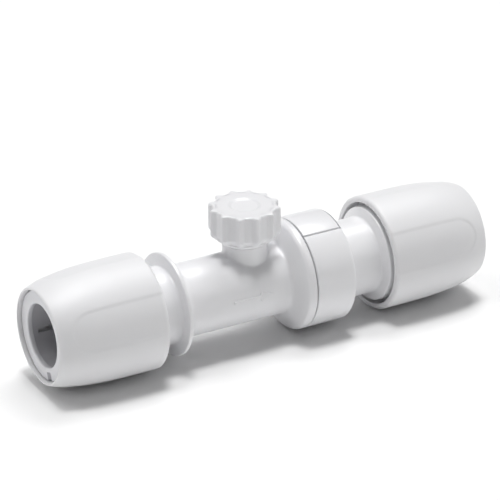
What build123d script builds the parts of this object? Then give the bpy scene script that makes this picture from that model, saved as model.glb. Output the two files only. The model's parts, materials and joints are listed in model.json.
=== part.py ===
from build123d import *
import math
import os

# Push-fit coupling for 15 mm pipe with a check valve for each end and a capped test point.
# The origin is on the pipe axis at the inlet's pipe stop. +X is the flow direction, +Z is up.
# Both pipe ends are built from their end face inwards and then turned into place.
# Angles about the pipe axis start at the front (-Y) and rise towards the top (+Z).

# Pipe ends, from the end face inwards
overall_length = 116.0
socket_depth = 27.0
socket_radius = 7.65
pipe_fit_radius = 7.5
socket_mouth = 12.6
seal_seat_depth = 3.4
seal_seat_radius = 10.6
thread_radius = 11.6
thread_edge = 0.4
land_end = 27.6
land_cone_length = 1.0
neck_radius = 9.45
port_radius = 6.0
end_overlap = 0.5

# How far a cutting shape reaches past what it cuts, and the gap that keeps touching parts apart
cut_reach = 1.0
touch_gap = 0.05

# Retaining caps
cap_length = 27.3
cap_radius = 14.3
cap_nose_radius = 11.6
cap_nose_edge = 0.35
cap_rear_edge = 0.8
cap_barrel_power = 4.3
cap_curve_places = (0.5, 2.5, 5.0, 8.0, 11.5, 15.5, 20.0)
cap_nose_bore = 11.05
cap_web_start = 3.9
cap_web_end = 6.2
cap_web_bore = 9.15
cap_pocket_radius = 10.0
cap_pocket_end = 9.4
cap_seat_bore = 11.35
cap_thread_bore = 11.75
cap_thread_end = 24.1
cap_rear_bore = 12.7
grip_panel_width = 9.6
grip_panel_nose = 3.5
grip_panel_depth = 0.35
grip_panel_angle = 21.5

# Release collars and what grips and seals the pipe
collar_face = 1.0
collar_flange_thickness = 1.2
collar_flange_radius = 10.85
collar_edge = 0.25
collar_mouth_radius = 8.0
collar_mouth_depth = 0.35
collar_relief_start = 2.4
collar_relief_radius = 8.2
collar_sleeve_radius = 8.95
collar_tip_radius = 8.75
collar_end = 8.2
collar_barb_start = 6.3
collar_barb_length = 0.5
collar_barb_radius = 9.6
collar_slit_width = 1.2
collar_slit_start = 3.6
collar_slit_depth = 6.0
collar_slit_angle = 20.0
collar_notch_angle = -70.0
collar_notch_width = 1.7
collar_notch_depth = 0.6
collar_notch_root = 8.2
grab_ring_start = 9.6
grab_ring_thickness = 0.5
grab_ring_radius = 11.2
grab_ring_tooth_root = 9.35
grab_ring_tooth_end = 11.7
grab_ring_tooth_thickness = 0.3
grab_ring_slots = 10
grab_ring_slot_width = 0.8
grab_ring_slot_height = 2.6
grab_ring_slot_length = 6.0
spacer_start = 10.35
spacer_end = 12.5
spacer_lip = 0.55
spacer_relief_radius = 9.7
spacer_bore_gap = 0.3
pipe_seal_section_radius = 1.5

# Body between the two ends
flange_start = 6.15
flange_thickness = 1.1
flange_radius = 12.55
flange_edge = 0.2
flange_fillet_radii = (1.3, 0.7)
flange_fillet_lengths = (0.5, 2.0)
tube_radius = 8.9
chamber_start = 7.0
chamber_radius = 7.3
collar_cone_start = 35.95
collar_cone_length = 2.0
collar_edge_length = 0.7
collar_edge_drop = 0.45
collar_radius = 13.65
body_joint = 39.95
joint_gap = 0.4
joint_edge = 0.15
spigot_radius = 11.7
spigot_end = 48.6
sleeve_bore = 11.85
sleeve_floor = 49.0
sleeve_end = 50.8
end_edge = 0.4
outlet_chamber_end = 58.0

# Joint between the two bodies: a seal and a locking clip
lock_groove_start = 42.3
lock_groove_width = 1.8
lock_groove_radius = 10.4
joint_seal_position = 46.8
joint_seal_section_radius = 0.93
joint_seal_groove_radius = 9.9
joint_seal_groove_half_width = 1.2
seal_gap = 0.02
clip_length = 9.9
clip_thickness = 1.0
clip_half_angle = 26.0
clip_gap = 0.35
clip_under_gap = 0.1
clip_tooth_side_gap = 0.15
clip_tooth_half_angle = 20.0
clip_tooth_top_drop = 0.5

# Test point
test_axis = 27.67
boss_radius = 5.35
boss_top = 11.6
nozzle_radius = 4.6
nozzle_top = 18.0
nozzle_bore = 2.5
nozzle_edge = 0.3
nozzle_bore_floor = 9.5
test_hole_radius = 1.5
test_hole_bottom = 4.0
knob_bottom = 11.8
knob_skirt_drop = 0.9
knob_skirt_inset = 1.1
knob_waist = 14.3
knob_top = 21.0
knob_radius = 8.65
knob_bore = 4.75
knob_roof = 18.55
knob_flutes = 12
knob_first_flute = 8.0
knob_flute_radius = 1.9
knob_flute_depth = 0.7
knob_flute_middle = 17.8
knob_flute_length = 11.0
knob_edge = 0.5
knob_dish_radius = 3.5
knob_dish_depth = 0.35
plug_radius = 2.3
plug_side_gap = 0.1
plug_tip = 12.6
plug_seal_position = 14.2
plug_seal_section_radius = 0.45
plug_seal_groove_radius = 1.55
plug_seal_groove_half_width = 0.6
washer_bore = 2.8
washer_roof_gap = 0.03

# Check valve cartridges, from the seat end
cartridge_starts = {"inlet": 7.2, "outlet": 41.0}
cartridge_length = 16.8
cartridge_radius = 7.2
cartridge_bore = 6.2
cartridge_gap = 0.2
spacer_window_radius = 2.2
spacer_window_length = 6.0
valve_seat_radius = 4.2
valve_seat_edge = 0.5
valve_seat_thickness = 2.6
housing_seal_position = 1.3
housing_seal_section_radius = 0.52
housing_groove_depth = 1.0
housing_groove_half_width = 0.65
poppet_radius = 5.4
poppet_face = 3.25
poppet_thickness = 1.2
poppet_stud_radius = 1.9
poppet_stud_length = 0.9
poppet_stud_edge = 0.5
poppet_stem_radius = 1.2
poppet_stem_edge = 0.3
poppet_stem_end = 13.2
poppet_seal_bore = 2.0
poppet_seal_inset = 0.2
guide_start = 12.35
guide_thickness = 1.5
guide_stem_gap = 0.08
guide_hub_radius = 3.8
guide_rim_bore = 5.4
guide_spokes = 3
guide_spoke_middle = 4.6
guide_spoke_length = 2.0
guide_spoke_width = 1.2
spring_radius = 3.4
spring_wire_radius = 0.25
spring_turns = 6


def turned(points):
    """A solid of revolution about the pipe axis, from (x, radius) points."""
    return revolve(make_face(Polyline(*points, close=True)), Axis.X)


def turned_upright(points):
    """A solid of revolution about the test point's axis, from (radius, z) points."""
    outline = [(test_axis + radius, 0, z) for radius, z in points]
    return revolve(make_face(Polyline(*outline, close=True)), Axis((test_axis, 0, 0), (0, 0, 1)))


def ring_seal(x, ring_radius, section_radius):
    """A round-section sealing ring about the pipe axis."""
    return Pos(x, 0, 0) * Rot(0, 90, 0) * Torus(ring_radius, section_radius)


def at_angle(shape, angle):
    """Turns a shape that points to the front (-Y) up about the pipe axis."""
    return Rot(-angle, 0, 0) * shape


def at_end(shape, end):
    """Moves a shape built from an end face inwards to the inlet or the outlet."""
    if end == "inlet":
        return Pos(-socket_depth, 0, 0) * shape
    return Pos(overall_length - socket_depth, 0, 0) * Rot(0, 0, 180) * shape


# Parts of one pipe end

def socket():
    """The body's socket: thread band, plain land, cone down to the neck, seal seat and pipe bore."""
    neck_end = land_end + land_cone_length + cut_reach
    outside = turned([
        (socket_mouth, 0),
        (socket_mouth, thread_radius - thread_edge),
        (socket_mouth + thread_edge, thread_radius),
        (land_end, thread_radius),
        (land_end + land_cone_length, neck_radius),
        (neck_end, neck_radius),
        (neck_end, 0),
    ])
    return outside - socket_bores()


def socket_bores():
    """What the seal seat, the pipe bore and the port take out of a pipe end."""
    seat_floor = socket_mouth + seal_seat_depth
    return turned([
        (socket_mouth - cut_reach, 0),
        (socket_mouth - cut_reach, seal_seat_radius),
        (seat_floor, seal_seat_radius),
        (seat_floor, socket_radius),
        (socket_depth, socket_radius),
        (socket_depth, port_radius),
        (socket_depth + chamber_start, port_radius),
        (socket_depth + chamber_start, 0),
    ])


def barrel_outline(inset):
    """The cap's barrel curve as points, lowered by an inset; it flattens towards the rear."""
    places = [*cap_curve_places, cap_length - cap_rear_edge]
    nose_drop = cap_radius - cap_nose_radius
    return [
        (place, cap_radius - inset - nose_drop * (1 - place / cap_length) ** cap_barrel_power)
        for place in places
    ]


def barrel(inset):
    """The cap's solid barrel, lowered by an inset all round."""
    curve = barrel_outline(inset)
    nose_radius = cap_nose_radius - inset - cap_nose_edge
    rear_radius = cap_radius - inset - cap_rear_edge
    outline = (
        Polyline(curve[0], (0, nose_radius), (0, 0), (cap_length, 0), (cap_length, rear_radius), curve[-1])
        + Spline(*curve)
    )
    return revolve(make_face(outline), Axis.X)


def grip_panel(angle):
    """The thin layer that a round-nosed grip panel takes off the barrel, at one angle."""
    half_width = grip_panel_width / 2
    plan = Pos(grip_panel_nose + half_width, 0) * Circle(half_width)
    straight_length = cap_length - grip_panel_nose - half_width + cut_reach
    plan += Pos(grip_panel_nose + half_width + straight_length / 2, 0) * Rectangle(
        straight_length, grip_panel_width
    )
    column = extrude(Plane.XZ.offset(neck_radius) * plan, cap_radius)
    return at_angle(column - barrel(grip_panel_depth), angle)


def retaining_cap(panel_angle):
    """The screwed cap that holds the grip parts: a barrel with stepped bores and four grip panels."""
    bores = turned([
        (-cut_reach, 0),
        (-cut_reach, cap_nose_bore),
        (cap_web_start, cap_nose_bore),
        (cap_web_start, cap_web_bore),
        (cap_web_end, cap_web_bore),
        (cap_web_end, cap_pocket_radius),
        (cap_pocket_end, cap_pocket_radius),
        (cap_pocket_end, cap_seat_bore),
        (socket_mouth - touch_gap, cap_seat_bore),
        (socket_mouth - touch_gap, cap_thread_bore),
        (cap_thread_end, cap_thread_bore),
        (cap_thread_end, cap_rear_bore),
        (cap_length + cut_reach, cap_rear_bore),
        (cap_length + cut_reach, 0),
    ])
    cap = barrel(0) - bores
    for quarter in range(4):
        cap -= grip_panel(panel_angle + 90 * quarter)
    return cap


def release_collar():
    """The collet that is pushed in to free the pipe: a notched flange, and a sleeve slit into fingers."""
    flange_back = collar_face + collar_flange_thickness
    collar = turned([
        (collar_face, collar_mouth_radius),
        (collar_face, collar_flange_radius - collar_edge),
        (collar_face + collar_edge, collar_flange_radius),
        (flange_back, collar_flange_radius),
        (flange_back, collar_sleeve_radius),
        (collar_barb_start, collar_sleeve_radius),
        (collar_barb_start, collar_barb_radius),
        (collar_barb_start + collar_barb_length, collar_barb_radius),
        (collar_end, collar_tip_radius),
        (collar_end, collar_relief_radius),
        (collar_relief_start, collar_relief_radius),
        (flange_back, socket_radius),
        (collar_face + collar_mouth_depth, socket_radius),
    ])
    slit_length = collar_end - collar_slit_start + cut_reach
    slit_middle = collar_slit_start + slit_length / 2
    slit_block = Box(slit_length, collar_slit_depth, collar_slit_width)
    slit = Pos(slit_middle, -collar_sleeve_radius, 0) * slit_block
    for quarter in range(4):
        collar -= at_angle(slit, collar_slit_angle + 90 * quarter)
    notch_length = collar_flange_radius - collar_notch_root + cut_reach
    notch_block = Box(2 * collar_notch_depth, notch_length, collar_notch_width)
    notch = Pos(collar_face, -collar_notch_root - notch_length / 2, 0) * notch_block
    return collar - at_angle(notch, collar_notch_angle)


def grab_ring():
    """The stainless ring whose slanted teeth grip the pipe."""
    ring_back = grab_ring_start + grab_ring_thickness
    ring = turned([
        (grab_ring_start, grab_ring_radius),
        (ring_back, grab_ring_radius),
        (ring_back, grab_ring_tooth_root),
        (grab_ring_tooth_end, pipe_fit_radius + grab_ring_tooth_thickness),
        (grab_ring_tooth_end - grab_ring_tooth_thickness, pipe_fit_radius),
        (grab_ring_start, grab_ring_tooth_root - grab_ring_tooth_thickness / 2),
    ])
    slot_middle = grab_ring_tooth_root - grab_ring_slot_height / 2 + grab_ring_tooth_thickness
    slot_block = Box(grab_ring_slot_length, grab_ring_slot_height, grab_ring_slot_width)
    slot = Pos(ring_back, -slot_middle, 0) * slot_block
    for tooth in range(grab_ring_slots):
        ring -= at_angle(slot, tooth * 360 / grab_ring_slots)
    return ring


def spacer_ring():
    """The support ring that keeps the pipe seal in its seat and backs the grab ring."""
    inner_radius = socket_radius + spacer_bore_gap
    return turned([
        (spacer_start, spacer_relief_radius),
        (spacer_start, grab_ring_radius),
        (spacer_end, grab_ring_radius),
        (spacer_end, inner_radius),
        (spacer_end - spacer_lip, inner_radius),
        (spacer_end - spacer_lip, spacer_relief_radius),
    ])


def pipe_seal():
    """The ring that seals on the pipe, in the mouth of the body's socket."""
    seal_middle = socket_mouth + seal_seat_depth / 2
    ring_radius = pipe_fit_radius + touch_gap + pipe_seal_section_radius
    return ring_seal(seal_middle, ring_radius, pipe_seal_section_radius)


# Bodies

def test_boss():
    """The boss on the tube and the nozzle that the test cap screws on to."""
    return turned_upright([
        (0, 0),
        (boss_radius, 0),
        (boss_radius, boss_top),
        (nozzle_radius, boss_top),
        (nozzle_radius, nozzle_top - nozzle_edge),
        (nozzle_radius - nozzle_edge, nozzle_top),
        (0, nozzle_top),
    ])


def test_bores():
    """The narrow hole through the tube wall and the nozzle's bore above it."""
    return turned_upright([
        (0, test_hole_bottom),
        (test_hole_radius, test_hole_bottom),
        (test_hole_radius, nozzle_bore_floor),
        (nozzle_bore, nozzle_bore_floor),
        (nozzle_bore, nozzle_top + cut_reach),
        (0, nozzle_top + cut_reach),
    ])


def inlet_body():
    """The long body: inlet socket, flange, tube with the test boss, and the locking spigot."""
    flange_end = flange_start + flange_thickness
    cone_end = collar_cone_start + collar_cone_length
    outside = turned([
        (-end_overlap, 0),
        (-end_overlap, neck_radius),
        (flange_start, neck_radius),
        (flange_start, flange_radius - flange_edge),
        (flange_start + flange_edge, flange_radius),
        (flange_end - flange_edge, flange_radius),
        (flange_end, flange_radius - flange_edge),
        (flange_end, tube_radius + flange_fillet_radii[0]),
        (flange_end + flange_fillet_lengths[0], tube_radius + flange_fillet_radii[1]),
        (flange_end + flange_fillet_lengths[1], tube_radius),
        (collar_cone_start, tube_radius),
        (cone_end, collar_radius - collar_edge_drop),
        (cone_end + collar_edge_length, collar_radius),
        (body_joint - joint_edge, collar_radius),
        (body_joint, collar_radius - joint_edge),
        (body_joint, spigot_radius),
        (spigot_end - end_edge, spigot_radius),
        (spigot_end, spigot_radius - end_edge),
        (spigot_end, 0),
    ])
    chamber_end = spigot_end + cut_reach
    chamber = turned([
        (chamber_start, 0),
        (chamber_start, chamber_radius),
        (chamber_end, chamber_radius),
        (chamber_end, 0),
    ])
    lock_groove = turned([
        (lock_groove_start, lock_groove_radius),
        (lock_groove_start, spigot_radius + cut_reach),
        (lock_groove_start + lock_groove_width, spigot_radius + cut_reach),
        (lock_groove_start + lock_groove_width, lock_groove_radius),
    ])
    seal_groove = turned([
        (joint_seal_position - joint_seal_groove_half_width, joint_seal_groove_radius),
        (joint_seal_position - joint_seal_groove_half_width, spigot_radius + cut_reach),
        (joint_seal_position + joint_seal_groove_half_width, spigot_radius + cut_reach),
        (joint_seal_position + joint_seal_groove_half_width, joint_seal_groove_radius),
    ])
    body = at_end(socket(), "inlet") + outside + test_boss()
    body -= chamber
    body -= at_end(socket_bores(), "inlet")
    body -= test_bores()
    return body - lock_groove - seal_groove


def outlet_body():
    """The short body: the sleeve over the spigot, the second valve's chamber and the outlet socket."""
    sleeve_start = body_joint + joint_gap
    neck_end = overall_length - 2 * socket_depth + end_overlap
    outside = turned([
        (sleeve_start, 0),
        (sleeve_start, collar_radius - joint_edge),
        (sleeve_start + joint_edge, collar_radius),
        (sleeve_end - end_edge, collar_radius),
        (sleeve_end, collar_radius - end_edge),
        (sleeve_end, neck_radius),
        (neck_end, neck_radius),
        (neck_end, 0),
    ])
    inside = turned([
        (sleeve_start - cut_reach, 0),
        (sleeve_start - cut_reach, sleeve_bore),
        (sleeve_floor, sleeve_bore),
        (sleeve_floor, chamber_radius),
        (outlet_chamber_end, chamber_radius),
        (outlet_chamber_end, 0),
    ])
    body = at_end(socket(), "outlet") + outside
    body -= inside
    body -= at_end(socket_bores(), "outlet")
    return body - clip_pad(clip_gap, clip_under_gap) - clip_tooth(clip_under_gap)


# Joint parts

def top_sector(length, inner_radius, outer_radius, half_angle):
    """A block of a tube wall, centred on the top, that starts at x = 0."""
    tube = turned([(0, inner_radius), (0, outer_radius), (length, outer_radius), (length, inner_radius)])
    reach = 2 * outer_radius
    wedge = Polyline(
        (0, 0),
        (-reach * math.tan(math.radians(half_angle)), reach),
        (reach * math.tan(math.radians(half_angle)), reach),
        close=True,
    )
    sector = extrude(Plane.YZ * make_face(wedge), length)
    return tube & sector


def clip_pad(side_gap, under_gap):
    """The clip's flush pad, grown by the gaps so that it can also cut its own pocket."""
    half_angle = clip_half_angle + math.degrees(side_gap / collar_radius)
    block = top_sector(
        clip_length + 2 * side_gap,
        collar_radius - clip_thickness - under_gap,
        collar_radius + 2 * under_gap,
        half_angle,
    )
    return Pos(body_joint + joint_gap + touch_gap - side_gap, 0, 0) * block


def clip_tooth(gap):
    """The tooth that drops through the sleeve into the spigot's groove."""
    block = top_sector(
        lock_groove_width - 2 * clip_tooth_side_gap + 2 * gap,
        lock_groove_radius + clip_under_gap - gap,
        collar_radius - clip_tooth_top_drop,
        clip_tooth_half_angle + math.degrees(gap / spigot_radius),
    )
    return Pos(lock_groove_start + clip_tooth_side_gap - gap, 0, 0) * block


def joint_lock_clip():
    """The clip that locks the sleeve on to the spigot: a flush pad with a tooth under it."""
    return clip_pad(0, 0) + clip_tooth(0)


def joint_seal():
    """The ring that seals the spigot in the sleeve."""
    ring_radius = joint_seal_groove_radius + seal_gap + joint_seal_section_radius
    return ring_seal(joint_seal_position, ring_radius, joint_seal_section_radius)


def chamber_spacer():
    """The sleeve that holds the two cartridges apart, with a window under the test hole."""
    start = cartridge_starts["inlet"] + cartridge_length + cartridge_gap
    end = cartridge_starts["outlet"] - cartridge_gap
    sleeve = turned([
        (start, cartridge_bore),
        (start, cartridge_radius),
        (end, cartridge_radius),
        (end, cartridge_bore),
    ])
    hole = Rot(90, 0, 0) * Cylinder(spacer_window_radius, spacer_window_length)
    window = Pos(test_axis, -cartridge_radius, 0) * hole
    for quarter in range(4):
        sleeve -= at_angle(window, 90 * quarter)
    return sleeve


# Test cap parts

def knob():
    """The fluted test cap: a threaded bore that goes over the nozzle, and a plug that goes into it."""
    outside = turned_upright([
        (0, knob_bottom),
        (boss_radius, knob_bottom),
        (knob_radius - knob_skirt_inset, knob_waist - knob_skirt_drop),
        (knob_radius, knob_waist),
        (knob_radius, knob_top - knob_edge),
        (knob_radius - knob_edge, knob_top),
        (knob_dish_radius, knob_top),
        (knob_dish_radius - knob_edge, knob_top - knob_dish_depth),
        (0, knob_top - knob_dish_depth),
    ])
    bore = turned_upright([
        (plug_radius, knob_bottom - cut_reach),
        (knob_bore, knob_bottom - cut_reach),
        (knob_bore, knob_roof),
        (plug_radius, knob_roof),
    ])
    below_plug = turned_upright([
        (0, knob_bottom - cut_reach),
        (plug_radius + plug_side_gap, knob_bottom - cut_reach),
        (plug_radius + plug_side_gap, plug_tip),
        (0, plug_tip),
    ])
    seal_groove = turned_upright([
        (plug_seal_groove_radius, plug_seal_position - plug_seal_groove_half_width),
        (plug_radius + plug_side_gap, plug_seal_position - plug_seal_groove_half_width),
        (plug_radius + plug_side_gap, plug_seal_position + plug_seal_groove_half_width),
        (plug_seal_groove_radius, plug_seal_position + plug_seal_groove_half_width),
    ])
    cap = outside - bore - below_plug - seal_groove
    flute_distance = knob_radius + knob_flute_radius - knob_flute_depth
    flute = Pos(flute_distance, 0, knob_flute_middle) * Cylinder(knob_flute_radius, knob_flute_length)
    for step in range(knob_flutes):
        turn = knob_first_flute + step * 360 / knob_flutes
        cap -= Pos(test_axis, 0, 0) * Rot(0, 0, turn) * flute
    return cap


def test_cap_washer():
    """The flat washer that the cap squeezes on to the nozzle's rim."""
    return turned_upright([
        (washer_bore, nozzle_top + seal_gap),
        (nozzle_radius, nozzle_top + seal_gap),
        (nozzle_radius, knob_roof - washer_roof_gap),
        (washer_bore, knob_roof - washer_roof_gap),
    ])


def test_plug_seal():
    """The small ring on the plug that seals in the nozzle's bore."""
    ring_radius = plug_seal_groove_radius + seal_gap + plug_seal_section_radius
    return Pos(test_axis, 0, plug_seal_position) * Torus(ring_radius, plug_seal_section_radius)


# Check valve cartridge parts, from the seat end

def valve_housing():
    """The cartridge's tube with the valve seat at its front and a groove for its seal."""
    housing = turned([
        (0, valve_seat_radius + valve_seat_edge),
        (0, cartridge_radius),
        (cartridge_length, cartridge_radius),
        (cartridge_length, cartridge_bore),
        (valve_seat_thickness, cartridge_bore),
        (valve_seat_thickness, valve_seat_radius),
        (valve_seat_edge, valve_seat_radius),
    ])
    groove = turned([
        (housing_seal_position - housing_groove_half_width, cartridge_radius - housing_groove_depth),
        (housing_seal_position - housing_groove_half_width, cartridge_radius + cut_reach),
        (housing_seal_position + housing_groove_half_width, cartridge_radius + cut_reach),
        (housing_seal_position + housing_groove_half_width, cartridge_radius - housing_groove_depth),
    ])
    return housing - groove


def housing_seal():
    """The ring that seals a cartridge in its chamber."""
    ring_radius = cartridge_radius - housing_groove_depth + seal_gap + housing_seal_section_radius
    return ring_seal(housing_seal_position, ring_radius, housing_seal_section_radius)


def poppet():
    """The moving valve disc, with a stud for its seal and a stem that runs in the guide."""
    disc_back = poppet_face + poppet_thickness
    stud_end = poppet_face - poppet_stud_length
    return turned([
        (stud_end, 0),
        (stud_end, poppet_stud_radius - poppet_stud_edge),
        (stud_end + poppet_stud_edge, poppet_stud_radius),
        (poppet_face, poppet_stud_radius),
        (poppet_face, poppet_radius),
        (disc_back, poppet_radius),
        (disc_back, poppet_stem_radius),
        (poppet_stem_end - poppet_stem_edge, poppet_stem_radius),
        (poppet_stem_end, poppet_stem_radius - poppet_stem_edge),
        (poppet_stem_end, 0),
    ])


def poppet_seal():
    """The flat ring on the poppet's face that closes on the seat."""
    return turned([
        (valve_seat_thickness + touch_gap, poppet_seal_bore),
        (valve_seat_thickness + touch_gap, poppet_radius - poppet_seal_inset),
        (poppet_face - seal_gap, poppet_radius - poppet_seal_inset),
        (poppet_face - seal_gap, poppet_seal_bore),
    ])


def spring_guide():
    """The three-spoked guide that the stem slides in and the spring pushes on."""
    guide_end = guide_start + guide_thickness
    rim = turned([
        (guide_start, guide_rim_bore),
        (guide_start, cartridge_bore - touch_gap),
        (guide_end, cartridge_bore - touch_gap),
        (guide_end, guide_rim_bore),
    ])
    hub = turned([
        (guide_start, poppet_stem_radius + guide_stem_gap),
        (guide_start, guide_hub_radius),
        (guide_end, guide_hub_radius),
        (guide_end, poppet_stem_radius + guide_stem_gap),
    ])
    guide = rim + hub
    spoke_bar = Box(guide_thickness, guide_spoke_length, guide_spoke_width)
    spoke = Pos((guide_start + guide_end) / 2, -guide_spoke_middle, 0) * spoke_bar
    for step in range(guide_spokes):
        guide += at_angle(spoke, 90 + step * 360 / guide_spokes)
    return guide


def valve_spring():
    """The closing spring, between the back of the disc and the guide."""
    start = poppet_face + poppet_thickness + spring_wire_radius + touch_gap
    end = guide_start - spring_wire_radius - touch_gap
    height = end - start
    coil = Helix(height / spring_turns, height, spring_radius)
    section = Plane(origin=coil @ 0, z_dir=coil % 0) * Circle(spring_wire_radius)
    wire = sweep(section, coil, is_frenet=True)
    return Pos(start, 0, 0) * Rot(0, 90, 0) * wire


def end_parts(end):
    """The loose parts of one pipe end."""
    panel_angle = grip_panel_angle if end == "inlet" else 180 - grip_panel_angle
    return {
        "retaining_cap": retaining_cap(panel_angle),
        "release_collar": release_collar(),
        "grab_ring": grab_ring(),
        "spacer_ring": spacer_ring(),
        "pipe_seal": pipe_seal(),
    }


def cartridge_parts():
    """The parts of one check valve cartridge."""
    return {
        "valve_housing": valve_housing(),
        "housing_seal": housing_seal(),
        "poppet": poppet(),
        "poppet_seal": poppet_seal(),
        "spring_guide": spring_guide(),
        "valve_spring": valve_spring(),
    }


nodes = {
    "inlet_body": inlet_body(),
    "outlet_body": outlet_body(),
    "joint_seal": joint_seal(),
    "joint_lock_clip": joint_lock_clip(),
    "chamber_spacer": chamber_spacer(),
    "test_cap": knob(),
    "test_cap_washer": test_cap_washer(),
    "test_plug_seal": test_plug_seal(),
}
for end_name in ("inlet", "outlet"):
    for part_name, shape in end_parts(end_name).items():
        nodes[f"{end_name}_{part_name}"] = at_end(shape, end_name)
    for part_name, shape in cartridge_parts().items():
        nodes[f"{end_name}_{part_name}"] = Pos(cartridge_starts[end_name], 0, 0) * shape

os.makedirs("parts", exist_ok=True)
for node_name, shape in nodes.items():
    export_step(shape, f"parts/{node_name}.step")
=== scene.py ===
import json
import math

import bmesh
import bpy
import numpy as np
from mathutils import Matrix, Vector


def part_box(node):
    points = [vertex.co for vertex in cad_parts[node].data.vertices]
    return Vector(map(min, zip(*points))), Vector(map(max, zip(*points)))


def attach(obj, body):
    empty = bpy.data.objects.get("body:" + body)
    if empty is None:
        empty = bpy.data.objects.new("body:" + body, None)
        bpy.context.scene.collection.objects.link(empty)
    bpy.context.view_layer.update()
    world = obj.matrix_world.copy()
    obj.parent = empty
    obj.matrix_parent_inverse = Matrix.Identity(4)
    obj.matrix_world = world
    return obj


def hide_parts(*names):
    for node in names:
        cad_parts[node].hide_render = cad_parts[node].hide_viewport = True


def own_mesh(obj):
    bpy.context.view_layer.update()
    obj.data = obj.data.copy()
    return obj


# A push-fit coupling for 15 mm pipe. The CAD frame gives the main places, and the outer mouldings are
# built here again as fine meshes, for their soft edges, grip panels, threads and flutes.
# Lengths in the helper functions are in millimetres along the pipe and from its axis, and turn into
# metres where a mesh is made. Angles start at the front (-Y) and rise towards the top (+Z).

MM = 0.001
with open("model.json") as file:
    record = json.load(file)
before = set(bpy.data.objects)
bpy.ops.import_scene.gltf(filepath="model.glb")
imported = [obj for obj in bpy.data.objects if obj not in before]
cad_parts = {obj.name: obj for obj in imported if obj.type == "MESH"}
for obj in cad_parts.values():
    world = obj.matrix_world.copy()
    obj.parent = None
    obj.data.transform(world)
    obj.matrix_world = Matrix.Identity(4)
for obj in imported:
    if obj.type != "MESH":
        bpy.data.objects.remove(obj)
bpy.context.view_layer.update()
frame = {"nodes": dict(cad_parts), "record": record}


def span_mm(node, axis):
    """The lowest and highest place of a CAD node along one axis, in millimetres."""
    low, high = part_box(node)
    return low[axis] / MM, high[axis] / MM


def radius_mm(node):
    """The largest radius of a CAD node about the pipe axis, measured sideways."""
    low, high = span_mm(node, 1)
    return (high - low) / 2


# Driving sizes, read from the frame

inlet_face, inlet_cap_rear = span_mm("inlet_retaining_cap", 0)
outlet_face = span_mm("outlet_retaining_cap", 0)[1]
cap_length = inlet_cap_rear - inlet_face
cap_radius = radius_mm("inlet_retaining_cap")
inlet_mouth, joint_spigot_end = span_mm("inlet_body", 0)
sleeve_start, outlet_mouth = span_mm("outlet_body", 0)
collar_radius = radius_mm("inlet_body")
knob_low, knob_top = span_mm("test_cap", 2)
knob_left, knob_right = span_mm("test_cap", 0)
test_axis = (knob_left + knob_right) / 2
knob_radius = (knob_right - knob_left) / 2
clip_start, clip_end = span_mm("joint_lock_clip", 0)
clip_half_width = radius_mm("joint_lock_clip")
collar_front = span_mm("inlet_release_collar", 0)[0] - inlet_face
collar_back = span_mm("inlet_release_collar", 0)[1] - inlet_face
collar_flange_radius = radius_mm("inlet_release_collar")
mouth_depth = inlet_mouth - inlet_face

# Sizes that the boxes don't show, the same as in the CAD. Depths run inwards from an end face, starts and
# ends are places along the pipe, and heights rise from the pipe axis.

socket_depth = 27.0
seal_seat_depth = 16.0
seal_seat_radius = 10.6
pipe_bore = 7.65
port_radius = 6.0
chamber_radius = 7.3
chamber_start = 7.0
chamber_end = 58.0
neck_radius = 9.45
tube_radius = 8.9
thread_radius = 11.6
land_end = 27.6
land_cone_length = 1.0
collar_flange_thickness = 1.2
flange_start = 6.15
flange_thickness = 1.1
flange_radius = 12.55
cone_start = 35.95
cone_length = 2.0
body_joint = sleeve_start - 0.4
spigot_radius = 11.7
clip_groove_start = 42.3
clip_groove_end = 44.1
clip_groove_radius = 10.4
seal_groove_start = 45.6
seal_groove_end = 48.0
seal_groove_radius = 9.9
sleeve_end = 50.8
sleeve_bore = 11.85
sleeve_bore_end = 49.0
boss_radius = 5.35
nozzle_radius = 4.6
nozzle_top = 18.0
nozzle_bore = 2.5

# Sizes that only these meshes have: the ridges of the threads, and a boss that ends closer under the cap

thread_root = 11.05
thread_pitch = 3.0
thread_end = 23.4
nozzle_pitch = 1.5
nozzle_thread_depth = 0.35
boss_top = 11.75

# How near its axis a closed outline stops, and how far a cutting tool runs past what it cuts

axis_radius = 0.02
cut_reach = 1


# Mesh helpers

def rounded_outline(corners):
    """A closed outline from (place, radius, fillet) corners, with each fillet as a short curve."""
    points = []
    for i, (a, r, fillet) in enumerate(corners):
        here = np.array([a, r])
        before = np.array(corners[i - 1][:2]) - here
        after = np.array(corners[(i + 1) % len(corners)][:2]) - here
        reach = min(fillet, 0.45 * np.hypot(*before), 0.45 * np.hypot(*after))
        if reach <= 0:
            points.append(tuple(here))
            continue
        start = here + before / np.hypot(*before) * reach
        end = here + after / np.hypot(*after) * reach
        for t in np.linspace(0, 1, 5):
            points.append(tuple((1 - t) ** 2 * start + 2 * t * (1 - t) * here + t * t * end))
    return points


def open_divided(points, step):
    """An open line of points with its long runs divided, so that a mesh can be shaped along them."""
    result = []
    for start, end in zip(points, points[1:]):
        parts = max(1, math.ceil(math.dist(start, end) / step))
        for t in np.arange(parts) / parts:
            result.append((start[0] + t * (end[0] - start[0]), start[1] + t * (end[1] - start[1])))
    return result + [points[-1]]


def divided(points, step):
    """The same for a closed outline, whose last point isn't repeated."""
    return open_divided([*points, points[0]], step)[:-1]


def mesh_object(name, vertices, faces, sharp_degrees=35):
    """A new object from vertices in metres, with outward faces, smooth between its sharp edges."""
    mesh = bpy.data.meshes.new(name)
    mesh.from_pydata([tuple(v) for v in vertices], [], faces)
    work = bmesh.new()
    work.from_mesh(mesh)
    bmesh.ops.recalc_face_normals(work, faces=work.faces)
    work.to_mesh(mesh)
    work.free()
    mesh.shade_smooth()
    mesh.set_sharp_from_angle(angle=math.radians(sharp_degrees))
    obj = bpy.data.objects.new(name, mesh)
    bpy.context.scene.collection.objects.link(obj)
    return obj


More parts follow.
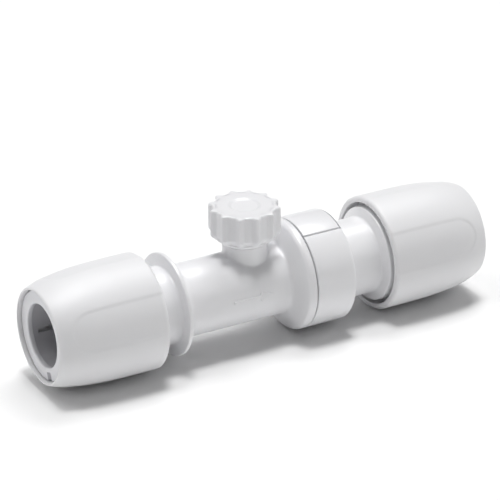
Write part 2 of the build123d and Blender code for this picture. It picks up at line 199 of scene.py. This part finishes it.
def ring_faces(rows, columns):
    """Quads of a grid that closes on itself both ways."""
    faces = []
    for i in range(rows):
        j = (i + 1) % rows
        for k in range(columns):
            m = (k + 1) % columns
            faces.append((i * columns + k, i * columns + m, j * columns + m, j * columns + k))
    return faces


def lathe(name, outline, segments=192, shape=None, upright=False):
    """A closed solid of revolution. shape(place, radius, angle) may change the radius round the turn."""
    outline = np.array(outline)
    angles = np.arange(segments) * 2 * math.pi / segments
    place = np.repeat(outline[:, 0][:, None], segments, axis=1)
    radius = np.repeat(outline[:, 1][:, None], segments, axis=1)
    turn = np.repeat(angles[None, :], len(outline), axis=0)
    if shape:
        radius = shape(place, radius, turn)
    if upright:
        columns = (test_axis + radius * np.cos(turn), radius * np.sin(turn), place)
    else:
        columns = (place, -radius * np.cos(turn), radius * np.sin(turn))
    vertices = np.stack([c.ravel() for c in columns], axis=1) * MM
    return mesh_object(name, vertices, ring_faces(len(outline), segments))


def arc_block(name, start, end, inner, outer, half_angle, rows=24):
    """A closed block of tube wall centred on the top."""
    angles = np.radians(90 + np.linspace(-half_angle, half_angle, rows))
    corners = ((start, inner), (start, outer), (end, outer), (end, inner))
    vertices = [
        (a * MM, -r * math.cos(t) * MM, r * math.sin(t) * MM) for t in angles for a, r in corners
    ]
    faces = [(0, 1, 2, 3), tuple(4 * (rows - 1) + k for k in (3, 2, 1, 0))]
    for i in range(rows - 1):
        for k in range(4):
            m = (k + 1) % 4
            faces.append((4 * i + k, 4 * i + m, 4 * i + 4 + m, 4 * i + 4 + k))
    return mesh_object(name, vertices, faces)


def block(name, size, centre, turn_degrees=0.0):
    """A closed box, sized along the pipe, outwards and sideways, turned up about the pipe axis."""
    half = [d / 2 for d in size]
    signs = [(x, y, z) for x in (-1, 1) for y in (-1, 1) for z in (-1, 1)]
    turn = Matrix.Rotation(math.radians(-turn_degrees), 4, "X")
    vertices = []
    for x, y, z in signs:
        corner = Vector((centre[0] + x * half[0], -centre[1] + y * half[1], centre[2] + z * half[2]))
        vertices.append(tuple(turn @ corner * MM))
    faces = [(0, 1, 3, 2), (4, 6, 7, 5), (0, 4, 5, 1), (2, 3, 7, 6), (0, 2, 6, 4), (1, 5, 7, 3)]
    return mesh_object(name, vertices, faces)


def combine(base, tool, operation):
    """Joins the tool to the base, or cuts it out of it, and removes the tool."""
    modifier = base.modifiers.new(operation, "BOOLEAN")
    modifier.operation = operation
    modifier.solver = "EXACT"
    modifier.object = tool
    bake_modifiers(base)
    bpy.data.objects.remove(tool)
    return base


def bake_modifiers(obj, sharp_degrees=35):
    """Applies the object's modifiers to its mesh."""
    evaluated = obj.evaluated_get(bpy.context.evaluated_depsgraph_get())
    mesh = bpy.data.meshes.new_from_object(evaluated)
    obj.modifiers.clear()
    obj.data = mesh
    mesh.shade_smooth()
    mesh.set_sharp_from_angle(angle=math.radians(sharp_degrees))
    return obj


def soften_edges(obj, width, segments=3):
    """Rounds the object's sharp edges by a width in millimetres."""
    modifier = obj.modifiers.new("soft edges", "BEVEL")
    modifier.width = width * MM
    modifier.segments = segments
    modifier.limit_method = "ANGLE"
    modifier.angle_limit = math.radians(40)
    return bake_modifiers(obj)


def place_at_end(obj, end):
    """Moves a mesh built from an end face inwards to the inlet or the outlet."""
    if end == "inlet":
        obj.data.transform(Matrix.Translation((inlet_face * MM, 0, 0)))
    else:
        turn = Matrix.Rotation(math.pi, 4, "Z")
        obj.data.transform(Matrix.Translation((outlet_face * MM, 0, 0)) @ turn)
    obj.data.update()
    return obj


def smoothstep(low, high, value):
    """Rises smoothly from 0 at low to 1 at high."""
    t = np.clip((value - low) / (high - low), 0, 1)
    return t * t * (3 - 2 * t)


# Materials

class Nodes:
    """A material's node tree with short ways to add to it."""

    def __init__(self, name):
        """A new material, with its shader and the object's own coordinates at hand."""
        self.material = bpy.data.materials.new(name)
        self.material.use_nodes = True
        self.tree = self.material.node_tree
        self.shader = self.tree.nodes["Principled BSDF"]
        self.place = self.add("ShaderNodeTexCoord").outputs["Object"]

    def add(self, kind, **settings):
        """A new node of a kind, with its settings."""
        node = self.tree.nodes.new(kind)
        for key, value in settings.items():
            setattr(node, key, value)
        return node

    def link(self, start, end):
        """Joins an output to an input."""
        self.tree.links.new(start, end)

    def noise(self, scale, detail=3.0, stretch=(1, 1, 1)):
        """A noise pattern in the object's own coordinates; scale is in cells per metre."""
        mapping = self.add("ShaderNodeMapping")
        mapping.inputs["Scale"].default_value = stretch
        self.link(self.place, mapping.inputs["Vector"])
        texture = self.add("ShaderNodeTexNoise")
        texture.inputs["Scale"].default_value = scale
        texture.inputs["Detail"].default_value = detail
        self.link(mapping.outputs["Vector"], texture.inputs["Vector"])
        return texture.outputs["Fac"]

    def ramp(self, factor, low, high, colours):
        """Two colours across a part of a factor's range."""
        ramp = self.add("ShaderNodeValToRGB")
        ramp.color_ramp.elements[0].position = low
        ramp.color_ramp.elements[1].position = high
        ramp.color_ramp.elements[0].color = (*colours[0], 1)
        ramp.color_ramp.elements[1].color = (*colours[1], 1)
        self.link(factor, ramp.inputs["Fac"])
        return ramp.outputs["Color"]

    def between(self, factor, low, high):
        """A factor mapped on to a range of values."""
        mapped = self.add("ShaderNodeMapRange")
        mapped.inputs["To Min"].default_value = low
        mapped.inputs["To Max"].default_value = high
        self.link(factor, mapped.inputs["Value"])
        return mapped.outputs["Result"]

    def bump(self, height, strength, distance_mm):
        """Raises the surface by a pattern, up to a distance in millimetres."""
        bump = self.add("ShaderNodeBump")
        bump.inputs["Strength"].default_value = strength
        bump.inputs["Distance"].default_value = distance_mm * MM
        self.link(height, bump.inputs["Height"])
        self.link(bump.outputs["Normal"], self.shader.inputs["Normal"])


def moulded_nodes(name, light, shade, gloss, grain, scatter=0.0):
    """Injection-moulded plastic: faint flow clouds in the colour, a fine grain, and uneven gloss."""
    nodes = Nodes(name)
    clouds = nodes.noise(55, 2.0, stretch=(0.5, 1, 1))
    nodes.link(nodes.ramp(clouds, 0.3, 0.7, (shade, light)), nodes.shader.inputs["Base Color"])
    wear = nodes.noise(420, 4.0)
    nodes.link(nodes.between(wear, gloss[0], gloss[1]), nodes.shader.inputs["Roughness"])
    nodes.bump(nodes.noise(2600, 2.0), grain, 0.02)
    nodes.shader.inputs["IOR"].default_value = 1.49
    nodes.shader.inputs["Specular IOR Level"].default_value = 0.8
    if scatter:
        nodes.shader.inputs["Subsurface Weight"].default_value = scatter
        nodes.shader.inputs["Subsurface Radius"].default_value = (1.0, 0.95, 0.95)
        nodes.shader.inputs["Subsurface Scale"].default_value = 1.2 * MM
    return nodes


def moulded_plastic(name, light, shade, gloss, grain, scatter=0.0):
    """The same as a finished material."""
    return moulded_nodes(name, light, shade, gloss, grain, scatter).material


def collar_plastic():
    """The collars' plastic, with painted shade: its colour is darkened behind the flange, where the
    bore's wall lies in shade.
    """
    nodes = moulded_nodes(
        "collar_plastic", (0.82, 0.82, 0.845), (0.79, 0.79, 0.82), (0.3, 0.42), 0.2, 0.15)
    plain = nodes.shader.inputs["Base Color"].links[0].from_socket
    fade = 0.3
    middle = (inlet_face + outlet_face) / 2
    middle_to_flange = (outlet_face - inlet_face) / 2 - collar_front - collar_flange_thickness
    split = nodes.add("ShaderNodeSeparateXYZ")
    nodes.link(nodes.place, split.inputs["Vector"])
    from_middle = nodes.add("ShaderNodeMath", operation="SUBTRACT")
    from_middle.inputs[1].default_value = middle * MM
    nodes.link(split.outputs["X"], from_middle.inputs[0])
    distance = nodes.add("ShaderNodeMath", operation="ABSOLUTE")
    nodes.link(from_middle.outputs["Value"], distance.inputs[0])
    on_flange = nodes.add("ShaderNodeMapRange")
    on_flange.inputs["From Min"].default_value = (middle_to_flange - fade) * MM
    on_flange.inputs["From Max"].default_value = middle_to_flange * MM
    nodes.link(distance.outputs["Value"], on_flange.inputs["Value"])
    painted_shade_mix = nodes.add("ShaderNodeMix", data_type="RGBA")
    # Painted shade: this darker grey stands for the shade on the bore's wall behind the flange.
    painted_shade_mix.inputs["A"].default_value = (0.64, 0.635, 0.665, 1)
    nodes.link(on_flange.outputs["Result"], painted_shade_mix.inputs["Factor"])
    nodes.link(plain, painted_shade_mix.inputs["B"])
    nodes.link(painted_shade_mix.outputs["Result"], nodes.shader.inputs["Base Color"])
    return nodes.material


def seal_rubber():
    """Matt black sealing rubber with a soft bloom and a fine skin."""
    nodes = Nodes("seal_rubber")
    bloom = nodes.noise(180, 3.0)
    nodes.link(nodes.ramp(bloom, 0.35, 0.7, ((0.012, 0.012, 0.013), (0.035, 0.035, 0.037))),
               nodes.shader.inputs["Base Color"])
    nodes.link(nodes.between(nodes.noise(900, 3.0), 0.45, 0.7), nodes.shader.inputs["Roughness"])
    nodes.bump(nodes.noise(1800, 3.0), 0.25, 0.03)
    return nodes.material


def spring_steel():
    """Bright stainless steel with fine drawn lines."""
    nodes = Nodes("spring_steel")
    lines = nodes.noise(700, 3.0, stretch=(6, 1, 1))
    nodes.link(nodes.ramp(lines, 0.3, 0.7, ((0.48, 0.48, 0.49), (0.66, 0.66, 0.67))),
               nodes.shader.inputs["Base Color"])
    nodes.link(nodes.between(lines, 0.18, 0.38), nodes.shader.inputs["Roughness"])
    nodes.shader.inputs["Metallic"].default_value = 1.0
    nodes.bump(lines, 0.15, 0.01)
    return nodes.material


materials = {
    "body_plastic": moulded_plastic(
        "body_plastic", (0.895, 0.895, 0.91), (0.875, 0.875, 0.895), (0.26, 0.36), 0.08, 0.2),
    "cap_plastic": moulded_plastic(
        "cap_plastic", (0.855, 0.855, 0.865), (0.83, 0.83, 0.845), (0.42, 0.54), 0.2, 0.25),
    "collar_plastic": collar_plastic(),
    "valve_plastic": moulded_plastic(
        "valve_plastic", (0.74, 0.74, 0.73), (0.68, 0.68, 0.66), (0.35, 0.5), 0.3, 0.15),
    "poppet_plastic": moulded_plastic(
        "poppet_plastic", (0.16, 0.17, 0.19), (0.12, 0.13, 0.15), (0.35, 0.5), 0.3),
    "seal_rubber": seal_rubber(),
    "stainless": spring_steel(),
}


def finish_piece(obj, slot, body, *replaced):
    """Gives a piece its material, its body and the CAD nodes that it stands for."""
    obj.data.materials.clear()
    obj.data.materials.append(materials[slot])
    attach(obj, body)
    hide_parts(*replaced)
    return obj


# Retaining caps

panel_width = 9.6
panel_nose = 3.5
panel_depth = 0.16
panel_edge = 0.8
panel_angle = 21.5
nose_drop = 2.7
barrel_power = 4.3
barrel_start = 0.45
rear_round = 0.9
cap_nose_bore = 11.05
cap_lip_end = 3.9
cap_web_bore = 9.15
cap_web_end = 6.2
cap_pocket_bore = 10.0
cap_seat_start = 9.4
cap_seat_bore = 11.35
cap_seat_end = 12.55
cap_thread_bore = 11.75
cap_skirt_start = 24.1
cap_skirt_bore = 12.7


def panel_change(place, radius, turn, first_angle):
    """Lowers the barrel inside four round-nosed panels that run out at the rear."""
    half_width = panel_width / 2
    quarter = math.pi / 2
    offset = (turn - math.radians(first_angle) + quarter / 2) % quarter - quarter / 2
    across = cap_radius * np.sin(offset)
    along = np.maximum(panel_nose + half_width - place, 0)
    inside = half_width - np.hypot(across, along)
    # Only the outer surface is lowered: past every bore, and near the rear past the skirt's wider bore
    past_bores = 11.8
    past_skirt = 13
    skirt_region = 20
    on_barrel = (radius > past_bores) & ((place < skirt_region) | (radius > past_skirt))
    return radius - panel_depth * smoothstep(-panel_edge / 2, panel_edge / 2, inside) * on_barrel


def retaining_cap(end):
    """The screwed cap: a barrel with a rounded nose and rear, grip panels, and a stepped inside."""
    curve = [
        (s, cap_radius - nose_drop * (1 - s / cap_length) ** barrel_power)
        for s in np.linspace(barrel_start, cap_length - rear_round, 110)
    ]
    nose = [(0.0, 11.25), (0.04, 11.45), (0.18, 11.64)]
    rear = [
        (cap_length - rear_round + rear_round * math.sin(t), cap_radius - rear_round * (1 - math.cos(t)))
        for t in np.linspace(0.25, math.pi / 2, 6)
    ]
    inside = rounded_outline([
        (cap_length, cap_skirt_bore, 0.2), (cap_skirt_start, cap_skirt_bore, 0),
        (cap_skirt_start, cap_thread_bore, 0.1), (cap_seat_end, cap_thread_bore, 0),
        (cap_seat_end, cap_seat_bore, 0), (cap_seat_start, cap_seat_bore, 0),
        (cap_seat_start, cap_pocket_bore, 0), (cap_web_end, cap_pocket_bore, 0),
        (cap_web_end, cap_web_bore, 0.2), (cap_lip_end, cap_web_bore, 0.2),
        (cap_lip_end, cap_nose_bore, 0.2), (0.0, cap_nose_bore, 0.15),
    ])
    first_angle = panel_angle if end == "inlet" else 180 - panel_angle

    def shape(place, radius, turn):
        """The barrel with its panels turned to this cap's first angle."""
        return panel_change(place, radius, turn, first_angle)

    cap = lathe(f"{end}_cap_moulding", nose + curve + rear + open_divided(inside, 3.0), 288, shape)
    place_at_end(cap, end)
    return finish_piece(cap, "cap_plastic", f"{end}_cap", f"{end}_retaining_cap")


# Release collars

notch_angle = -70.0
notch_size = (1.6, 2.6, 2.0)
slit_angle = 20.0
slit_width = 1.2
slit_height = 6
slit_offset = 1.4
collar_mouth = 7.85
collar_relief = 8.2
collar_rim_gap = 0.12
collar_sleeve_radius = 8.95
collar_barb_radius = 9.6
collar_barb_start = 6.3
collar_barb_end = 6.8
collar_tip_radius = 8.75


def release_collar(end):
    """The collet: a flange with a radial notch in its face, and a sleeve slit into fingers."""
    flange_back = collar_front + collar_flange_thickness
    rim = collar_flange_radius - collar_rim_gap
    outline = rounded_outline([
        (collar_front, collar_mouth, 0.15), (collar_front, rim, 0.2),
        (flange_back, rim, 0.2), (flange_back, collar_sleeve_radius, 0.2),
        (collar_barb_start, collar_sleeve_radius, 0), (collar_barb_start, collar_barb_radius, 0.05),
        (collar_barb_end, collar_barb_radius, 0.2), (collar_back, collar_tip_radius, 0.1),
        (collar_back, collar_relief, 0.1),
        (flange_back + 0.2, collar_relief, 0.1), (flange_back, pipe_bore, 0.1),
        (collar_front + 0.25, pipe_bore, 0.1),
    ])
    collar = lathe(f"{end}_collar_moulding", outline, 144)
    slit_start = flange_back + slit_offset
    slit_length = collar_back - slit_start + 2 * cut_reach
    slit_centre = (slit_start + slit_length / 2, collar_sleeve_radius, 0)
    for quarter in range(4):
        slit = block("slit", (slit_length, slit_height, slit_width), slit_centre,
                     slit_angle + 90 * quarter)
        combine(collar, slit, "DIFFERENCE")
    notch_centre = (collar_front, collar_relief + 0.5 + notch_size[1] / 2, 0)
    combine(collar, block("notch", notch_size, notch_centre, notch_angle), "DIFFERENCE")
    place_at_end(collar, end)
    return finish_piece(collar, "collar_plastic", f"{end}_collar", f"{end}_release_collar")


# Bodies

# The shares of one pitch in which a thread's surface falls to its root, and rises to its crest again
falling_flank = (0.12, 0.34)
rising_flank = (0.66, 0.88)


def thread_change(place, radius, start, end, crest, root, pitch, turn):
    """A rounded male thread on the crest radius between two places, fading in and out at its ends."""
    phase = (place / pitch - turn / (2 * math.pi)) % 1.0
    groove = smoothstep(*falling_flank, phase) * (1 - smoothstep(*rising_flank, phase))
    fade_in = smoothstep(start, start + 0.5 * pitch, place)
    ends = fade_in * (1 - smoothstep(end - 0.5 * pitch, end, place))
    on_thread = (np.abs(radius - crest) < 0.02) & (place > start) & (place < end)
    return radius - (crest - root) * groove * ends * on_thread


def socket_thread(place, radius, turn):
    """The threads of both sockets, told apart by where they are along the pipe."""
    from_inlet = place - inlet_face
    from_outlet = outlet_face - place
    radius = thread_change(from_inlet, radius, mouth_depth + 0.3, thread_end,
                           thread_radius, thread_root, thread_pitch, -turn)
    return thread_change(from_outlet, radius, mouth_depth + 0.3, thread_end,
                         thread_radius, thread_root, thread_pitch, turn)


def nozzle_thread(place, radius, turn):
    """The nozzle's thread, between the boss and the nozzle's rounded top."""
    return thread_change(place, radius, boss_top + 0.5, nozzle_top - 0.3,
                         nozzle_radius, nozzle_radius - nozzle_thread_depth, nozzle_pitch, turn)


def inlet_body():
    """The long body with its flange, tube, cone, spigot and test boss."""
    at = inlet_face
    flange_end = flange_start + flange_thickness
    foot_heights = (1.1, 0.6)
    foot_lengths = (0.7, 2.0)
    collar_edge_drop = 0.45
    collar_edge_length = 0.7
    corners = [
        (inlet_mouth, seal_seat_radius, 0.2), (inlet_mouth, thread_radius, 0.4),
        (at + land_end, thread_radius, 0.25), (at + land_end + land_cone_length, neck_radius, 0.4),
        (flange_start, neck_radius, 0.5), (flange_start, flange_radius, 0.35),
        (flange_end, flange_radius, 0.35), (flange_end, tube_radius + foot_heights[0], 0.3),
        (flange_end + foot_lengths[0], tube_radius + foot_heights[1], 0.3),
        (flange_end + foot_lengths[1], tube_radius, 0.8), (cone_start, tube_radius, 0.6),
        (cone_start + cone_length, collar_radius - collar_edge_drop, 0.3),
        (cone_start + cone_length + collar_edge_length, collar_radius, 0.4),
        (body_joint, collar_radius, 0.2),
        (body_joint, spigot_radius, 0.1), (clip_groove_start, spigot_radius, 0.1),
        (clip_groove_start, clip_groove_radius, 0.1), (clip_groove_end, clip_groove_radius, 0.1),
        (clip_groove_end, spigot_radius, 0.1), (seal_groove_start, spigot_radius, 0.1),
        (seal_groove_start, seal_groove_radius, 0.1), (seal_groove_end, seal_groove_radius, 0.1),
        (seal_groove_end, spigot_radius, 0.1), (joint_spigot_end, spigot_radius, 0.3),
        (joint_spigot_end, chamber_radius, 0.1), (chamber_start, chamber_radius, 0.1),
        (chamber_start, port_radius, 0.2), (at + socket_depth, port_radius, 0.2),
        (at + socket_depth, pipe_bore, 0.1), (at + seal_seat_depth, pipe_bore, 0.2),
        (at + seal_seat_depth, seal_seat_radius, 0.1),
    ]
    body = lathe("inlet_body_moulding", divided(rounded_outline(corners), 0.3), 192, socket_thread)
    combine(body, test_boss(), "UNION")
    combine(body, test_bore(), "DIFFERENCE")
    return finish_piece(body, "body_plastic", "body", "inlet_body")


def test_boss():
    """The boss with a fillet that follows the tube, and the threaded nozzle on top of it."""
    fillet = 0.6
    core = 3.5
    core_height = 7.9
    fillet_end = 9.8
    segments = 144
    turn = np.arange(segments) * 2 * math.pi / segments
    rows = []

    def tube_height(radius):
        """How high the tube's surface is, round a circle about the boss's axis."""
        return np.sqrt(tube_radius ** 2 - (radius * np.sin(turn)) ** 2)

    def add_row(radius, height):
        """One ring of vertices about the boss's axis."""
        columns = (test_axis + radius * np.cos(turn), radius * np.sin(turn), height + 0 * turn)
        rows.append(np.stack(columns, axis=1))

    add_row(core, core_height)
    add_row(boss_radius, np.minimum(tube_height(boss_radius) - 0.4, core_height))
    add_row(boss_radius + fillet, tube_height(boss_radius + fillet) - 0.25)
    for t in np.linspace(0, 1, 9):
        radius = boss_radius + fillet * (1 - t) ** 2
        foot = tube_height(boss_radius + fillet * (1 - t))
        add_row(radius, foot + fillet * t ** 2)
    top = rounded_outline([
        (fillet_end, boss_radius, 0), (boss_top, boss_radius, 0.15), (boss_top, nozzle_radius, 0.1),
        (nozzle_top, nozzle_radius, 0.35), (nozzle_top, core, 0.0), (core_height, core, 0.0),
    ])
    for height, radius in open_divided(top[:-1], 0.2):
        add_row(nozzle_thread(np.array(height), np.array(radius), turn), height)
    vertices = np.concatenate(rows) * MM
    return mesh_object("test_boss", vertices, ring_faces(len(rows), segments))


def test_bore():
    """What the nozzle's bore and the test hole take out of the tube wall and the boss."""
    bottom = 5.0
    hole_radius = 1.5
    nozzle_floor = 9.5
    top = nozzle_top + cut_reach
    outline = [
        (bottom, axis_radius), (bottom, hole_radius), (nozzle_floor, hole_radius),
        (nozzle_floor, nozzle_bore), (top, nozzle_bore), (top, axis_radius),
    ]
    return lathe("test_bore", outline, 72, upright=True)


def outlet_body():
    """The short body with its sleeve, the pocket for the clip, the neck and the outlet socket."""
    at = outlet_face
    corners = [
        (sleeve_start, sleeve_bore, 0.1), (sleeve_start, collar_radius, 0.25),
        (sleeve_end, collar_radius, 0.6), (sleeve_end, neck_radius, 0.5),
        (at - land_end - land_cone_length, neck_radius, 0.4), (at - land_end, thread_radius, 0.25),
        (outlet_mouth, thread_radius, 0.4), (outlet_mouth, seal_seat_radius, 0.2),
        (at - seal_seat_depth, seal_seat_radius, 0.1), (at - seal_seat_depth, pipe_bore, 0.2),
        (at - socket_depth, pipe_bore, 0.1), (at - socket_depth, port_radius, 0.2),
        (chamber_end, port_radius, 0.2), (chamber_end, chamber_radius, 0.1),
        (sleeve_bore_end, chamber_radius, 0.1), (sleeve_bore_end, sleeve_bore, 0.1),
    ]
    body = lathe("outlet_body_moulding", divided(rounded_outline(corners), 0.3), 192, socket_thread)
    side_gap = 0.42
    pocket_depth = 1.3
    half_angle = math.degrees(math.asin(clip_half_width / collar_radius) + side_gap / collar_radius)
    pocket = arc_block("pocket", sleeve_start - cut_reach, clip_end + side_gap,
                       collar_radius - pocket_depth, collar_radius + cut_reach, half_angle)
    combine(body, pocket, "DIFFERENCE")
    slot_inset = 0.05
    slot_inner = 10.0
    slot_half_angle = 20.5
    slot = arc_block("slot", clip_groove_start + slot_inset, clip_groove_end - slot_inset, slot_inner,
                     collar_radius, slot_half_angle)
    combine(body, slot, "DIFFERENCE")
    return finish_piece(body, "body_plastic", "body", "outlet_body")


def lock_clip():
    """The clip's flush pad with soft edges, and its tooth."""
    half_angle = math.degrees(math.asin(clip_half_width / collar_radius))
    pad_thickness = 1.0
    tooth_gap = 0.15
    tooth_inner = 10.5
    tooth_half_angle = 20.0
    pad = arc_block("joint_clip_moulding", clip_start, clip_end, collar_radius - pad_thickness,
                    collar_radius, half_angle, 48)
    soften_edges(pad, 0.18)
    tooth = arc_block("tooth", clip_groove_start + tooth_gap, clip_groove_end - tooth_gap, tooth_inner,
                      collar_radius - pad_thickness / 2, tooth_half_angle)
    combine(pad, tooth, "UNION")
    return finish_piece(pad, "body_plastic", "body", "joint_lock_clip")


# Test cap

def knob():
    """The fluted cap: a ribbed side, a soft top edge, a shallow dish, the bore and the plug."""
    flutes = 12
    flute_depth = 1.05
    first_ridge = math.radians(23.0)
    bore_radius = 4.75
    bore_top = 18.55
    dish_depth = 0.35
    dish_radius = 3.8
    dish_slope = 0.6
    plug_bottom = 12.6
    plug_radius = 2.3
    plug_chamfer = 0.3
    groove_bottom = 13.6
    groove_top = 14.8
    groove_radius = 1.55
    flute_inner = 6.9
    flute_outer = 7.6
    ridge_share = 0.35
    skirt_drop = 0.9
    skirt_inset = 1.1
    waist = knob_low + 2.5
    corners = [
        (knob_low, bore_radius, 0.1), (knob_low, boss_radius + 0.05, 0.3),
        (waist - skirt_drop, knob_radius - skirt_inset, 0.7), (waist, knob_radius, 0.8),
        (knob_top, knob_radius, 0.6), (knob_top, dish_radius, 0.3),
        (knob_top - dish_depth, dish_radius - dish_slope, 0.4), (knob_top - dish_depth, axis_radius, 0),
    ]
    outer = rounded_outline(corners)[2:]
    inner = [
        (plug_bottom, axis_radius), (plug_bottom, plug_radius - plug_chamfer),
        (plug_bottom + plug_chamfer, plug_radius), (groove_bottom, plug_radius),
        (groove_bottom, groove_radius), (groove_top, groove_radius), (groove_top, plug_radius),
        (bore_top, plug_radius), (bore_top, bore_radius), (knob_low + 0.1, bore_radius),
    ]
    outline = open_divided(outer, 0.35) + inner

    def shape(place, radius, turn):
        """The flutes, which fade in below the waist and are cut only near the rim."""
        from_flute = np.abs(((turn - first_ridge) * flutes / math.pi) % 2 - 1)
        groove = 1 - smoothstep(ridge_share, 1.0, from_flute)
        fade = smoothstep(knob_low + 0.7, waist - 0.2, place)
        rim = smoothstep(flute_inner, flute_outer, radius)
        return radius - flute_depth * groove * fade * rim

    cap = lathe("test_cap_moulding", outline, 288, shape, upright=True)
    return finish_piece(cap, "body_plastic", "test_cap", "test_cap")


# Valve springs

spring_radius = 3.4
spring_wire = 0.25
spring_turns = 6


def valve_spring(end):
    """A coil spring along the CAD spring's length, with its far end held by the guide; it stays on the
    body and keeps its length.
    """
    start, stop = span_mm(f"{end}_valve_spring", 0)
    steps_per_turn = 30
    steps = steps_per_turn * spring_turns
    section = 10
    along = np.linspace(start + spring_wire, stop - spring_wire, steps + 1)[:, None]
    turn = np.linspace(0, 2 * math.pi * spring_turns, steps + 1)[:, None]
    around = np.arange(section)[None, :] * 2 * math.pi / section
    radius = spring_radius + spring_wire * np.cos(around)
    columns = (along + spring_wire * np.sin(around), -radius * np.cos(turn), radius * np.sin(turn))
    vertices = np.stack([column.ravel() for column in columns], axis=1) * MM
    faces = [tuple(range(section)), tuple(steps * section + k for k in reversed(range(section)))]
    for i in range(steps):
        here = i * section
        after = here + section
        for k in range(section):
            m = (k + 1) % section
            faces.append((here + k, here + m, after + m, after + k))
    spring = mesh_object(f"{end}_spring_coil", vertices, faces)
    finish_piece(spring, "stainless", "body", f"{end}_valve_spring")
    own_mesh(spring)


# Flow arrow, moulded on the tube's front

def flow_arrow():
    """A raised arrow on the tube that shows the flow direction."""
    start = 20.0
    length = 10.4
    head_length = 3.4
    head_half = 1.4
    shaft_half = 0.35
    angle = 5.0
    height = 0.26
    sunk = 0.1
    edge_inset = 0.1
    shoulder = 0.6
    tip_half = 0.02
    steps = 24
    stations = np.linspace(0, length, steps + 1)
    rows = []
    for a in stations:
        to_tip = length - a
        half = shaft_half if to_tip > head_length else head_half * to_tip / head_length
        rows.append((start + a, max(half, tip_half)))
    vertices = []
    for x, half in rows:
        for level, inset in ((-sunk, 0), (height * shoulder, 0), (height, edge_inset)):
            for side in (-1, 1):
                tilt = math.radians(angle) + side * max(half - inset, tip_half / 2) / tube_radius
                radius = tube_radius + level
                vertices.append((x * MM, -radius * math.cos(tilt) * MM, radius * math.sin(tilt) * MM))
    order = (0, 2, 4, 5, 3, 1)
    faces = [tuple(order), tuple(6 * steps + k for k in reversed(order))]
    for i in range(steps):
        for k in range(6):
            a = order[k]
            b = order[(k + 1) % 6]
            faces.append((6 * i + a, 6 * i + b, 6 * i + 6 + b, 6 * i + 6 + a))
    arrow = mesh_object("flow_arrow", vertices, faces)
    arrow.data.materials.append(materials["body_plastic"])
    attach(arrow, "body")
    return arrow


def dress_cad_nodes():
    """Every CAD node that stays in view takes the procedural material of its slot."""
    for part in frame["record"]["subparts"]:
        node = frame["nodes"][part["node"]]
        node.data.materials.clear()
        node.data.materials.append(materials[part["material_slot"]])


# Floor, light and camera

camera_azimuth = math.radians(-29.51)

# Energy, angular size in degrees, and how far each light leans across to the right and to the back
suns = {
    "overhead": (1.55, 14, 0.0, 0.0),
    "behind": (1.05, 26, 0.14, 0.44),
    "upper_left": (0.42, 25, -0.45, 0.0),
    "low_right": (0.45, 60, 1.6, 0.0),
    "low_left": (0.45, 60, -1.6, 0.0),
}


def soft_sun(name, energy, angle, across, back):
    """A sun with soft shadows, aimed as the camera sees it: across to the right, and to the back."""
    sun = bpy.data.objects.new(name, bpy.data.lights.new(name, "SUN"))
    sun.data.energy = energy
    sun.data.angle = math.radians(angle)
    right = Vector((math.cos(camera_azimuth), math.sin(camera_azimuth), 0))
    away = Vector((-math.sin(camera_azimuth), math.cos(camera_azimuth), 0))
    towards = right * across + away * back + Vector((0, 0, 1))
    sun.rotation_euler = towards.to_track_quat("Z", "Y").to_euler()
    bpy.context.scene.collection.objects.link(sun)


def studio():
    """A plain pale floor under the caps, soft suns, and a faint sky."""
    mesh = bpy.data.meshes.new("floor")
    reach = 8.0
    height = -cap_radius * MM
    mesh.from_pydata([(-reach, -reach, height), (reach, -reach, height), (reach, reach, height),
                      (-reach, reach, height)], [], [(0, 1, 2, 3)])
    floor = bpy.data.objects.new("floor", mesh)
    bpy.context.scene.collection.objects.link(floor)
    nodes = Nodes("floor_paper")
    nodes.link(nodes.ramp(nodes.noise(3, 2.0), 0.2, 0.8, ((0.955, 0.955, 0.955), (0.965, 0.965, 0.965))),
               nodes.shader.inputs["Base Color"])
    nodes.shader.inputs["Roughness"].default_value = 0.9
    nodes.shader.inputs["Specular IOR Level"].default_value = 0.1
    mesh.materials.append(nodes.material)

    for name, (energy, angle, across, back) in suns.items():
        soft_sun(name, energy, angle, across, back)

    world = bpy.data.worlds.new("sky")
    world.use_nodes = True
    sky = world.node_tree.nodes["Background"]
    sky.inputs["Color"].default_value = (1.0, 0.975, 1.0, 1)
    sky.inputs["Strength"].default_value = 0.02
    bpy.context.scene.world = world
    bpy.context.scene.view_settings.view_transform = "Standard"


def camera():
    """The photograph's view: a long lens from the front left, a little above."""
    elevation = math.radians(26.19)
    distance = 702.6
    aim = Vector((19.9, -16.4, 18.0))
    back = Vector((math.sin(camera_azimuth) * math.cos(elevation),
                   -math.cos(camera_azimuth) * math.cos(elevation), math.sin(elevation)))
    view = bpy.data.objects.new("camera", bpy.data.cameras.new("camera"))
    view.data.lens = 219.4
    view.data.sensor_width = 36.0
    view.data.clip_end = 50.0
    view.location = (aim + back * distance) * MM
    view.rotation_euler = (-back).to_track_quat("-Z", "Y").to_euler()
    bpy.context.scene.collection.objects.link(view)
    bpy.context.scene.camera = view


dress_cad_nodes()
for side_name in ("inlet", "outlet"):
    retaining_cap(side_name)
    release_collar(side_name)
    valve_spring(side_name)
inlet_body()
outlet_body()
lock_clip()
knob()
flow_arrow()
studio()
camera()
